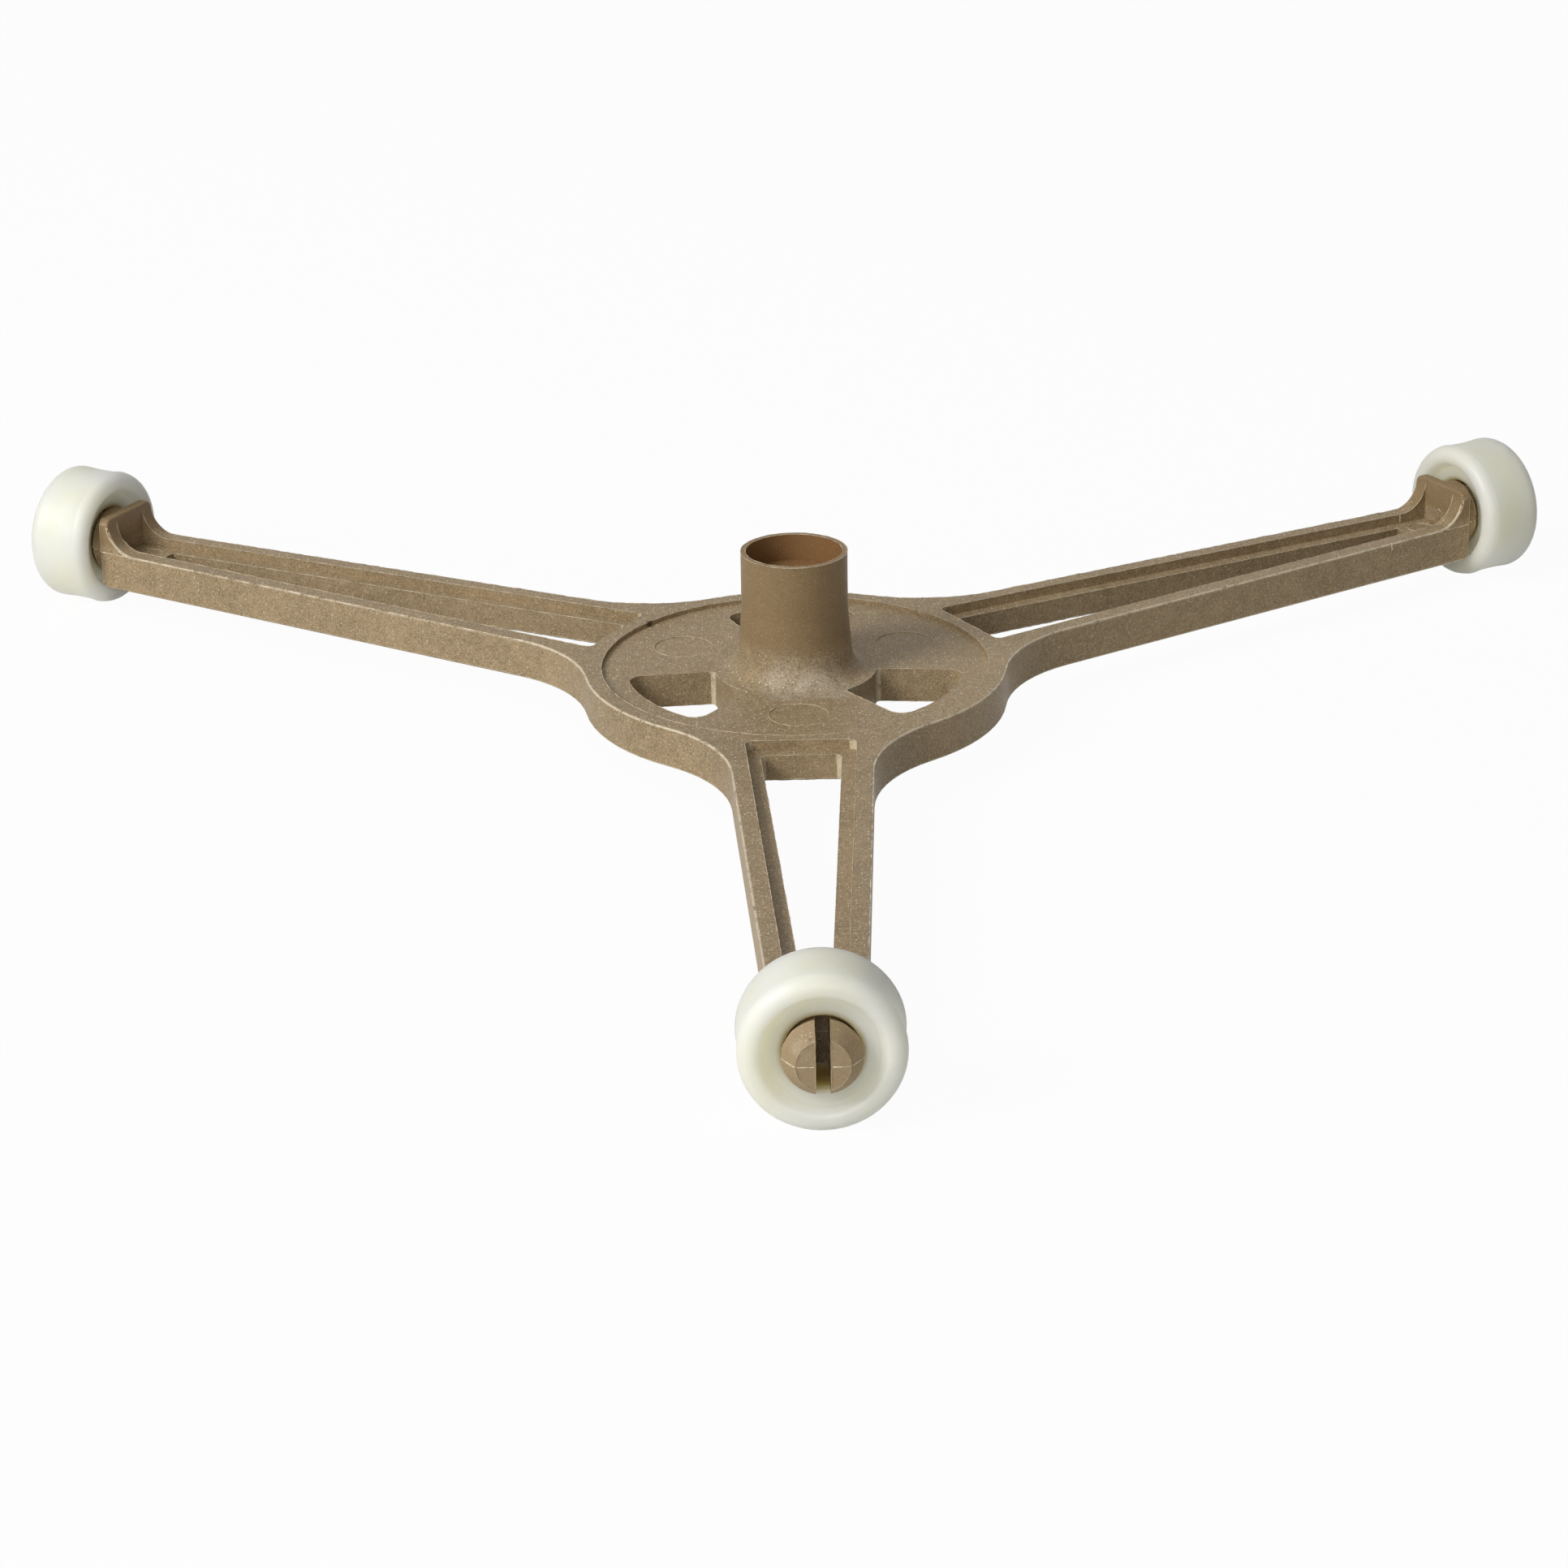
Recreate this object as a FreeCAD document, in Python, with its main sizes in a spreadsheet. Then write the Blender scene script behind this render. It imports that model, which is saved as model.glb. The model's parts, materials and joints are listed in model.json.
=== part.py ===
import FreeCAD, Part
import Sketcher
import math
import os

# Roller ring of a microwave oven: a moulded star that carries three rollers under a glass tray.
# The carrier is one moulding: hub disc, central tube, three arms and a split snap pin on each arm.
# Origin: centre of the drive socket's mouth, in the plane of the carrier's underside.
# +Z is up, and one arm points along -Y. All sizes are in millimetres and degrees.

SIZES = {
    # Rollers
    "roller_diameter": 18.0,
    "roller_width": 9.0,
    "roller_reach": 115.0,  # hub axis to the outer face of a roller
    "roller_edge_radius": 1.5,
    "bore_diameter": 8.2,
    "bore_mouth": 0.3,  # chamfer at both ends of the bore
    "tread_land": 0.15,  # straight part of the tread beside each rounded edge
    "tread_hollow": 0.12,  # how far the tread is waisted in the middle
    "rim_land": 0.65,  # ring between a rounded edge and the rim of a dish
    "rim_radius": 0.7,
    "dish_slope_width": 0.7,  # width of a dish's sloping wall, seen from the end
    "dish_corner_radius": 0.4,
    "outer_dish_depth": 1.3,
    "inner_dish_depth": 1.6,
    # Fit of a roller on its pin
    "pin_clearance": 0.25,  # bore radius less pin radius
    "pin_rest_gap": 0.05,  # what is left of that under the pin, which lies low in the bore
    "shoulder_gap": 0.4,  # end of the shoulder to the floor of the inner dish
    "plate_gap": 0.3,  # end plate to the inner face of the roller
    "lip_gap": 0.35,  # floor of the outer dish to the back of the snap lip
    # Split snap pins
    "shoulder_diameter": 8.8,
    "lip_overlap": 0.2,  # how far the lip stands out past the bore
    "lip_back_length": 0.3,  # slope that lets the roller be pulled off again
    "lip_land": 0.2,
    "tip_diameter": 5.8,
    "tip_length": 2.15,
    "pin_slot_width": 1.64,
    "pin_slot_root": 0.8,  # end of the shoulder to the bottom of the slot
    # Arms
    "arm_height": 5.2,
    "arm_root_width": 18.1,  # across the arm where it leaves the hub
    "arm_tip_width": 10.1,  # across the arm at the end plate
    "arm_blend_radius": 20.0,
    "rail_width": 2.2,
    "ledge_width": 1.8,
    "ledge_depth": 1.25,
    "underside_depth": 0.85,
    "rebate_corner_radius": 1.0,  # hub end of the rebates
    "slot_corner_radius": 0.7,  # hub end of the slot
    "slot_bar": 1.55,  # bar between the hub recess and the stepped slot
    "end_floor_length": 5.9,  # solid floor between the slot and the end plate
    "end_mark_diameter": 3.6,
    "plate_thickness": 1.55,
    "plate_rise": 4.55,
    "plate_corner_radius": 1.0,
    "sweep_radius": 4.0,  # rails sweep up into the end plate
    "heel_radius": 1.0,  # lower outer edge of the end plate
    # Hub disc
    "hub_diameter": 53.8,
    "hub_rim_width": 2.2,
    "recess_depth": 0.55,
    "hub_underside_depth": 0.25,
    "window_inner_radius": 10.3,
    "window_outer_radius": 21.5,
    "window_angle": 49.0,
    "window_outer_corner": 2.0,
    "window_inner_corner": 0.6,
    "hub_mark_diameter": 7.5,
    "hub_mark_radius": 16.5,  # hub axis to the centre of an ejector mark
    "mark_depth": 0.08,
    # Central tube
    "tube_diameter": 13.5,
    "tube_height": 15.2,  # above the top of the arms
    "tube_straight_length": 7.4,
    "tube_foot_diameter": 14.9,
    "tube_root_radius": 2.6,
    "cup_wall": 0.6,
    "cup_depth": 3.4,
    "socket_diameter": 9.0,
    "socket_roof": 1.7,  # plastic between the cup and the socket
    # Small round on the outer edges of the moulding
    "edge_radius": 0.3,
}
ROLLERS = ("roller_front", "roller_right", "roller_left")  # one on each arm, going round the hub
ARM_COUNT = len(ROLLERS)

# Places worked out from the sizes, as expressions on the sheet's cells
HUB_RADIUS = "(dims.hub_diameter / 2)"
RECESS_RADIUS = f"({HUB_RADIUS} - dims.hub_rim_width)"
RECESS_FLOOR = "(dims.arm_height - dims.recess_depth)"
LEDGE_TOP = "(dims.arm_height - dims.ledge_depth)"
ROLLER_INNER = "(dims.roller_reach - dims.roller_width)"
PLATE_OUTER = f"({ROLLER_INNER} - dims.plate_gap)"
PLATE_INNER = f"({PLATE_OUTER} - dims.plate_thickness)"
PLATE_TOP = "(dims.arm_height + dims.plate_rise)"
SWEEP_START = f"({PLATE_INNER} - dims.sweep_radius)"
SLOT_START = f"({RECESS_RADIUS} + dims.slot_bar)"
SLOT_END = f"({PLATE_INNER} - dims.end_floor_length)"
TREAD_RADIUS = "(dims.roller_diameter / 2)"
TREAD_MIDDLE = "(dims.roller_reach - dims.roller_width / 2)"
HOLLOW_START = f"({ROLLER_INNER} + dims.roller_edge_radius + dims.tread_land)"
HOLLOW_END = "(dims.roller_reach - dims.roller_edge_radius - dims.tread_land)"
DISH_RIM = f"({TREAD_RADIUS} - dims.roller_edge_radius - dims.rim_land)"
DISH_FLOOR = f"({DISH_RIM} - dims.dish_slope_width)"
BORE_RADIUS = "(dims.bore_diameter / 2)"
BORE_START = f"({ROLLER_INNER} + dims.inner_dish_depth)"
BORE_END = "(dims.roller_reach - dims.outer_dish_depth)"
PIN_RADIUS = f"({BORE_RADIUS} - dims.pin_clearance)"
PIN_AXIS = "dims.arm_height"
ROLLER_AXIS = "(dims.arm_height + dims.pin_clearance - dims.pin_rest_gap)"
SHOULDER_END = f"({BORE_START} - dims.shoulder_gap)"
LIP_BACK = f"({BORE_END} + dims.lip_gap)"
LIP_START = f"({LIP_BACK} + dims.lip_back_length)"
LIP_END = f"({LIP_START} + dims.lip_land)"
LIP_RADIUS = f"({BORE_RADIUS} + dims.lip_overlap)"
PIN_TIP = f"({LIP_END} + dims.tip_length)"
TUBE_FOOT_RADIUS = "(dims.tube_foot_diameter / 2)"
TUBE_TOP = "(dims.arm_height + dims.tube_height)"
CUP_FLOOR = f"({TUBE_TOP} - dims.cup_depth)"
NEAR = 1e-4  # two lengths closer than this are the same
SHARP = 0.2  # faces that meet at more than this angle, in radians, make an edge that is rounded
CUTS = ("PartDesign::Pocket", "PartDesign::Groove")


def make_sheet(doc):
    """Spreadsheet that holds every driving dimension under its own name."""
    sheet = doc.addObject("Spreadsheet::Sheet", "dims")
    for row, (alias, size) in enumerate(SIZES.items(), start=1):
        sheet.set(f"A{row}", alias)
        sheet.set(f"B{row}", str(size))
        sheet.setAlias(f"B{row}", alias)
    doc.recompute()
    return sheet


def value(sheet, expression):
    """Number that an expression on the sheet stands for now."""
    return float(sheet.evalExpression(expression))


def arm_half_width(radius, inset="0"):
    """Half the width of a tapered arm at a distance from the hub axis, less an inset."""
    share = f"({radius} - {HUB_RADIUS}) / ({PLATE_OUTER} - {HUB_RADIUS})"
    width = f"dims.arm_root_width + (dims.arm_tip_width - dims.arm_root_width) * {share}"
    return f"(({width}) / 2 - ({inset}))"


def arm_outline(start, end, inset="0"):
    """Corners of a tapered strip of the arm along -Y, between two distances from the hub axis."""
    near_half = arm_half_width(start, inset)
    far_half = arm_half_width(end, inset)
    return [(f"-{near_half}", f"-{start}"), (f"-{far_half}", f"-{end}"),
            (far_half, f"-{end}"), (near_half, f"-{start}")]


class Builder:
    """One body of the document, with short calls for its sketches and features."""

    def __init__(self, doc, sheet, label):
        self.doc = doc
        self.sheet = sheet
        self.body = doc.addObject("PartDesign::Body", label)
        self.body.Label = label

    def origin(self, role):
        return next(item for item in self.body.Origin.OriginFeatures if item.Role == role)

    def sketch(self, name, plane, lift=None):
        """Empty sketch on an origin plane, lifted along Z by an expression."""
        sketch = self.body.newObject("Sketcher::SketchObject", name)
        sketch.AttachmentSupport = (self.origin(plane), [""])
        sketch.MapMode = "FlatFace"
        if lift:
            along = "z" if plane == "XY_Plane" else "y"
            sketch.setExpression(f".AttachmentOffset.Base.{along}", lift)
        return sketch

    def bind(self, sketch, kind, place, expression):
        """Constraint whose size follows an expression on the sheet."""
        constraint = Sketcher.Constraint(kind, *place, value(self.sheet, expression))
        number = sketch.addConstraint(constraint)
        sketch.setExpression(f"Constraints[{number}]", expression)

    def place(self, sketch, point, x, y):
        """Holds a point of a sketch at a pair of expressions, or on an axis where one is 0."""
        for kind, expression, axis in (("DistanceX", x, -2), ("DistanceY", y, -1)):
            if expression == "0":
                sketch.addConstraint(Sketcher.Constraint("PointOnObject", *point, axis))
            else:
                self.bind(sketch, kind, point, expression)

    def polygon(self, name, plane, corners, lift=None):
        """Sketch of straight edges whose corners are pairs of expressions."""
        sketch = self.sketch(name, plane, lift)
        points = [FreeCAD.Vector(value(self.sheet, x), value(self.sheet, y), 0) for x, y in corners]
        count = len(points)
        for index in range(count):
            edge = Part.LineSegment(points[index], points[(index + 1) % count])
            sketch.addGeometry(edge, False)
        for index in range(count):
            sketch.addConstraint(Sketcher.Constraint("Coincident", index, 2, (index + 1) % count, 1))
        for index, (x, y) in enumerate(corners):
            self.place(sketch, (index, 1), x, y)
        return sketch

    def circles(self, name, radii, centre=("0", "0"), lift=None):
        """Sketch of concentric circles."""
        sketch = self.sketch(name, "XY_Plane", lift)
        middle = FreeCAD.Vector(value(self.sheet, centre[0]), value(self.sheet, centre[1]), 0)
        for index, radius in enumerate(radii):
            ring = Part.Circle(middle, FreeCAD.Vector(0, 0, 1), value(self.sheet, radius))
            sketch.addGeometry(ring, False)
            self.bind(sketch, "Radius", (index,), radius)
            self.place(sketch, (index, 3), *centre)
        return sketch

    def extrude(self, kind, name, sketch, length, upward=True, centred=False):
        """Pad or pocket along Z, or half to each side of its sketch, as long as an expression."""
        feature = self.body.newObject(f"PartDesign::{kind}", name)
        feature.Profile = sketch
        feature.setExpression("Length", length)
        if centred:
            feature.SideType = "Symmetric"
        else:
            feature.Reversed = upward if kind == "Pocket" else not upward
        self.doc.recompute()
        return feature

    def turn(self, kind, name, sketch, axis, angle=None):
        """Revolution or groove about an axis of its sketch, whole or centred on the sketch."""
        feature = self.body.newObject(f"PartDesign::{kind}", name)
        feature.Profile = sketch
        feature.ReferenceAxis = (sketch, [axis])
        if angle:
            feature.Midplane = True
            feature.setExpression("Angle", angle)
        self.doc.recompute()
        return feature

    def on_each_arm(self, name, features):
        """The same features again on the other arms."""
        pattern = self.body.newObject("PartDesign::PolarPattern", name)
        pattern.Originals = features
        pattern.Axis = (self.origin("Z_Axis"), [""])
        pattern.Angle = 360
        pattern.Occurrences = ARM_COUNT
        self.body.Tip = pattern
        self.doc.recompute()
        return pattern

    def round_edges(self, name, radius, wanted):
        """Fillet on every edge of the body that a test picks."""
        base = self.body.Tip
        edges = enumerate(base.Shape.Edges, start=1)
        names = [f"Edge{number}" for number, edge in edges if not edge.Degenerated and wanted(edge)]
        if not names:
            raise RuntimeError(f"{name}: no edge found to round")
        fillet = self.body.newObject("PartDesign::Fillet", name)
        fillet.Base = (base, names)
        fillet.setExpression("Radius", radius)
        self.doc.recompute()
        return fillet


def ends(edge):
    """First and last point of an edge."""
    return edge.Vertexes[0].Point, edge.Vertexes[-1].Point


def distance_from_axis(point):
    """Distance of a point from the hub axis."""
    return (point.x ** 2 + point.y ** 2) ** 0.5


def is_upright(edge, radius):
    """Whether an edge stands along Z at a distance from the hub axis."""
    low, high = ends(edge)
    leans = abs(low.x - high.x) + abs(low.y - high.y)
    return leans < NEAR < abs(low.z - high.z) and abs(distance_from_axis(low) - radius) < NEAR


def is_circle(edge, radius):
    """Whether an edge is round, with the given radius."""
    return isinstance(edge.Curve, Part.Circle) and abs(edge.Curve.Radius - radius) < NEAR


def is_sharp(shape, edge):
    """Whether the two faces along an edge of a shape meet at an angle."""
    middle = edge.valueAt((edge.FirstParameter + edge.LastParameter) / 2)
    faces = shape.ancestorsOfType(edge, Part.Face)
    normals = [face.normalAt(*face.Surface.parameter(middle)) for face in faces]
    return len(normals) == 2 and normals[0].getAngle(normals[1]) > SHARP


def sweep_profile(carrier):
    """Side view of what is cut away where the rails sweep up into the end plate of the arm along -Y."""
    sheet = carrier.sheet
    sketch = carrier.sketch("sweep_profile", "YZ_Plane")
    start, foot, top = (value(sheet, place) for place in (SWEEP_START, "dims.arm_height", PLATE_TOP))
    radius = value(sheet, "dims.sweep_radius")
    plate = -start - radius
    centre = FreeCAD.Vector(-start, foot + radius, 0)
    round_part = Part.Circle(centre, FreeCAD.Vector(0, 0, 1), radius)
    sketch.addGeometry(Part.ArcOfCircle(round_part, math.pi, 1.5 * math.pi), False)
    corners = [(-start, foot), (-start, top), (plate, top), (plate, foot + radius)]
    points = [FreeCAD.Vector(x, y, 0) for x, y in corners]
    for first, second in zip(points, points[1:]):
        sketch.addGeometry(Part.LineSegment(first, second), False)
    for first, second in (((0, 2), (1, 1)), ((1, 2), (2, 1)), ((2, 2), (3, 1)), ((3, 2), (0, 1))):
        sketch.addConstraint(Sketcher.Constraint("Coincident", *first, *second))
    sketch.addConstraint(Sketcher.Constraint("Horizontal", 0, 1, 0, 3))
    sketch.addConstraint(Sketcher.Constraint("Vertical", 0, 2, 0, 3))
    sketch.addConstraint(Sketcher.Constraint("Vertical", 1))
    sketch.addConstraint(Sketcher.Constraint("Horizontal", 2))
    sketch.addConstraint(Sketcher.Constraint("Vertical", 3))
    carrier.bind(sketch, "Radius", (0,), "dims.sweep_radius")
    carrier.bind(sketch, "DistanceX", (0, 3), f"-{SWEEP_START}")
    carrier.bind(sketch, "DistanceY", (0, 3), "dims.arm_height + dims.sweep_radius")
    carrier.bind(sketch, "DistanceY", (2, 1), PLATE_TOP)
    return sketch


def build_star(carrier):
    """Outline of the moulding: hub disc, tapered arms with upright ends, and the blends between."""
    sheet = carrier.sheet
    hub = carrier.circles("hub_circle", [HUB_RADIUS])
    carrier.extrude("Pad", "hub_disc", hub, "dims.arm_height")
    strip = carrier.polygon("arm_strip", "XY_Plane", arm_outline(RECESS_RADIUS, PLATE_OUTER))
    arm = carrier.extrude("Pad", "arm", strip, "dims.arm_height")
    block = carrier.polygon("end_strip", "XY_Plane", arm_outline(SWEEP_START, PLATE_OUTER))
    end = carrier.extrude("Pad", "end_block", block, PLATE_TOP)
    sweep = carrier.extrude("Pocket", "sweep", sweep_profile(carrier), "dims.arm_root_width", centred=True)
    carrier.on_each_arm("arms", [arm, end, sweep])

    hub_radius = value(sheet, HUB_RADIUS)
    carrier.round_edges("arm_blends", "dims.arm_blend_radius", lambda edge: is_upright(edge, hub_radius))
    plate_outer = value(sheet, PLATE_OUTER)
    plate_top = value(sheet, PLATE_TOP)
    half_plate = value(sheet, "dims.plate_thickness / 2")

    def is_heel(edge):
        middle = edge.CenterOfMass
        return abs(middle.z) < NEAR and abs(distance_from_axis(middle) - plate_outer) < NEAR

    def is_plate_corner(edge):
        first, last = ends(edge)
        is_side = abs(distance_from_axis(first) - distance_from_axis(last)) > half_plate
        return is_side and abs(edge.CenterOfMass.z - plate_top) < NEAR

    carrier.round_edges("plate_heels", "dims.heel_radius", is_heel)
    carrier.round_edges("plate_corners", "dims.plate_corner_radius", is_plate_corner)
    outline = carrier.body.Tip.Shape
    carrier.round_edges("moulded_edges", "dims.edge_radius", lambda edge: is_sharp(outline, edge))


def build_hub(carrier):
    """Recesses, windows and ejector marks of the hub disc, and the tube with its cup and socket."""
    sheet = carrier.sheet
    recess = carrier.circles("recess_circle", [RECESS_RADIUS], lift="dims.arm_height")
    carrier.extrude("Pocket", "hub_recess", recess, "dims.recess_depth", upward=False)
    hollow = carrier.circles("underside_rings", [RECESS_RADIUS, TUBE_FOOT_RADIUS])
    carrier.extrude("Pocket", "hub_underside", hollow, "dims.hub_underside_depth")

    tube_radius = "(dims.tube_diameter / 2)"
    straight_foot = f"({TUBE_TOP} - dims.tube_straight_length)"
    profile = [("0", RECESS_FLOOR), (TUBE_FOOT_RADIUS, RECESS_FLOOR),
               (tube_radius, straight_foot), (tube_radius, TUBE_TOP), ("0", TUBE_TOP)]
    carrier.turn("Revolution", "tube", carrier.polygon("tube_profile", "XZ_Plane", profile), "V_Axis")
    foot_radius = value(sheet, TUBE_FOOT_RADIUS)
    floor = value(sheet, RECESS_FLOOR)

    def is_tube_foot(edge):
        return is_circle(edge, foot_radius) and abs(edge.CenterOfMass.z - floor) < NEAR

    carrier.round_edges("tube_root", "dims.tube_root_radius", is_tube_foot)
    cup = carrier.circles("cup_circle", [f"{tube_radius} - dims.cup_wall"], lift=TUBE_TOP)
    carrier.extrude("Pocket", "cup", cup, "dims.cup_depth", upward=False)
    socket = carrier.circles("socket_circle", ["dims.socket_diameter / 2"])
    carrier.extrude("Pocket", "drive_socket", socket, f"{CUP_FLOOR} - dims.socket_roof")

    window = [("dims.window_inner_radius", "0"), ("dims.window_outer_radius", "0"),
              ("dims.window_outer_radius", "dims.arm_height"),
              ("dims.window_inner_radius", "dims.arm_height")]
    section = carrier.polygon("window_section", "YZ_Plane", window)
    cut = carrier.turn("Groove", "window", section, "V_Axis", "dims.window_angle")
    carrier.on_each_arm("windows", [cut])
    for side in ("outer", "inner"):
        radius = value(sheet, f"dims.window_{side}_radius")
        carrier.round_edges(f"window_{side}_corners", f"dims.window_{side}_corner",
                            lambda edge: is_upright(edge, radius))

    mark = carrier.circles("hub_mark_circle", ["dims.hub_mark_diameter / 2"],
                           ("0", "-dims.hub_mark_radius"), RECESS_FLOOR)
    dent = carrier.extrude("Pocket", "hub_mark", mark, "dims.mark_depth", upward=False)
    carrier.on_each_arm("hub_marks", [dent])


def build_slots(carrier):
    """Stepped slot of each arm: a rebate above and below, and a narrower slot right through."""
    sheet = carrier.sheet
    rebate = arm_outline(SLOT_START, PLATE_INNER, "dims.rail_width")
    above = carrier.polygon("rebate_strip", "XY_Plane", rebate, PLATE_TOP)
    upper = carrier.extrude("Pocket", "upper_rebate", above, f"{PLATE_TOP} - {LEDGE_TOP}", upward=False)
    below = carrier.polygon("underside_strip", "XY_Plane", rebate)
    lower = carrier.extrude("Pocket", "lower_rebate", below, "dims.underside_depth")
    slot_start = f"({SLOT_START} + dims.ledge_width)"
    opening = arm_outline(slot_start, SLOT_END, "dims.rail_width + dims.ledge_width")
    through = carrier.polygon("slot_strip", "XY_Plane", opening)
    slot = carrier.extrude("Pocket", "slot", through, "dims.arm_height")
    middle = f"(({SLOT_END} + {PLATE_INNER}) / 2)"
    mark = carrier.circles("end_mark_circle", ["dims.end_mark_diameter / 2"],
                           ("0", f"-{middle}"), LEDGE_TOP)
    dent = carrier.extrude("Pocket", "end_mark", mark, "dims.mark_depth", upward=False)
    carrier.on_each_arm("slots", [upper, lower, slot, dent])
    for label, corner in (("rebate", rebate[0]), ("slot", opening[0])):
        reach = math.hypot(value(sheet, corner[0]), value(sheet, corner[1]))
        carrier.round_edges(f"{label}_corners", f"dims.{label}_corner_radius",
                            lambda edge: is_upright(edge, reach))


def build_pins(carrier):
    """Split snap pin of each arm: shoulder, shaft, lip and cone, cut in two by an upright slot."""
    shoulder_radius = "dims.shoulder_diameter / 2"
    tip_radius = "dims.tip_diameter / 2"
    profile = [(f"-{PLATE_INNER}", "0"), (f"-{PLATE_INNER}", PIN_RADIUS),
               (f"-{PLATE_OUTER}", PIN_RADIUS), (f"-{PLATE_OUTER}", shoulder_radius),
               (f"-{SHOULDER_END}", shoulder_radius), (f"-{SHOULDER_END}", PIN_RADIUS),
               (f"-{LIP_BACK}", PIN_RADIUS), (f"-{LIP_START}", LIP_RADIUS),
               (f"-{LIP_END}", LIP_RADIUS), (f"-{PIN_TIP}", tip_radius), (f"-{PIN_TIP}", "0")]
    section = carrier.polygon("pin_profile", "YZ_Plane", profile, PIN_AXIS)
    pin = carrier.turn("Revolution", "pin", section, "H_Axis")
    half_slot = "dims.pin_slot_width / 2"
    root = f"-({SHOULDER_END} + dims.pin_slot_root)"
    past_tip = f"-({PIN_TIP} + dims.pin_slot_width)"
    cut = [(f"-{half_slot}", root), (f"-{half_slot}", past_tip), (half_slot, past_tip), (half_slot, root)]
    strip = carrier.polygon("pin_slot_strip", "XY_Plane", cut)
    split = carrier.extrude("Pocket", "pin_slot", strip, f"{PIN_AXIS} + {LIP_RADIUS}")
    carrier.on_each_arm("pins", [pin, split])


def build_carrier(doc, sheet):
    """The whole moulding."""
    carrier = Builder(doc, sheet, "carrier")
    build_star(carrier)
    build_hub(carrier)
    build_slots(carrier)
    build_pins(carrier)
    return carrier.body


def build_roller(doc, sheet, label, angle):
    """Dished roller for the arm along -Y, turned about the hub axis to its own arm."""
    roller = Builder(doc, sheet, label)
    mouth = f"({BORE_RADIUS} + dims.bore_mouth)"
    profile = [(f"-({BORE_START} + dims.bore_mouth)", BORE_RADIUS), (f"-{BORE_START}", mouth),
               (f"-{BORE_START}", DISH_FLOOR), (f"-{ROLLER_INNER}", DISH_RIM),
               (f"-{ROLLER_INNER}", TREAD_RADIUS), ("-dims.roller_reach", TREAD_RADIUS),
               ("-dims.roller_reach", DISH_RIM), (f"-{BORE_END}", DISH_FLOOR),
               (f"-{BORE_END}", mouth), (f"-({BORE_END} - dims.bore_mouth)", BORE_RADIUS)]
    section = roller.polygon("roller_profile", "YZ_Plane", profile, ROLLER_AXIS)
    roller.turn("Revolution", "roller", section, "H_Axis")
    for name, place, radius in (("tread_edges", TREAD_RADIUS, "dims.roller_edge_radius"),
                                ("dish_rims", DISH_RIM, "dims.rim_radius"),
                                ("dish_corners", DISH_FLOOR, "dims.dish_corner_radius")):
        size = value(sheet, place)
        roller.round_edges(name, radius, lambda edge: is_circle(edge, size))
    clear = f"({TREAD_RADIUS} + dims.tread_hollow)"
    waist = [(f"-{HOLLOW_START}", TREAD_RADIUS), (f"-{TREAD_MIDDLE}", f"{TREAD_RADIUS} - dims.tread_hollow"),
             (f"-{HOLLOW_END}", TREAD_RADIUS), (f"-{HOLLOW_END}", clear), (f"-{HOLLOW_START}", clear)]
    section = roller.polygon("hollow_profile", "YZ_Plane", waist, ROLLER_AXIS)
    roller.turn("Groove", "tread_hollow", section, "H_Axis")
    turned = FreeCAD.Rotation(FreeCAD.Vector(0, 0, 1), angle)
    roller.body.Placement = FreeCAD.Placement(FreeCAD.Vector(0, 0, 0), turned)
    return roller.body


def check(doc, bodies):
    """Stops with a plain message if anything failed or a cut missed its solid."""
    doc.recompute()
    for item in doc.Objects:
        if "Invalid" in item.State or "Error" in item.State:
            raise RuntimeError(f"{item.Label} failed: {item.State}")
    for body in bodies:
        if body.Shape.isNull() or not body.Shape.isValid() or len(body.Shape.Solids) != 1:
            raise RuntimeError(f"{body.Label} is not one valid solid")
        before = 0.0
        for feature in body.Group:
            if feature.isDerivedFrom("PartDesign::Feature"):
                volume = feature.Shape.Volume
                if feature.TypeId in CUTS and volume > before - NEAR:
                    raise RuntimeError(f"{feature.Label} cuts nothing")
                before = volume


def main():
    doc = FreeCAD.newDocument("roller_ring")
    sheet = make_sheet(doc)
    bodies = [build_carrier(doc, sheet)]
    for place, label in enumerate(ROLLERS):
        bodies.append(build_roller(doc, sheet, label, place * 360 / ARM_COUNT))
    check(doc, bodies)
    os.makedirs("parts", exist_ok=True)
    for body in bodies:
        body.Shape.exportStep(f"parts/{body.Label}.step")
        print(body.Label, "volume", round(body.Shape.Volume, 1), "mm3")


main()
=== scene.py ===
import json
import math

import bmesh
import bpy
from mathutils import Matrix, Vector


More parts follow.
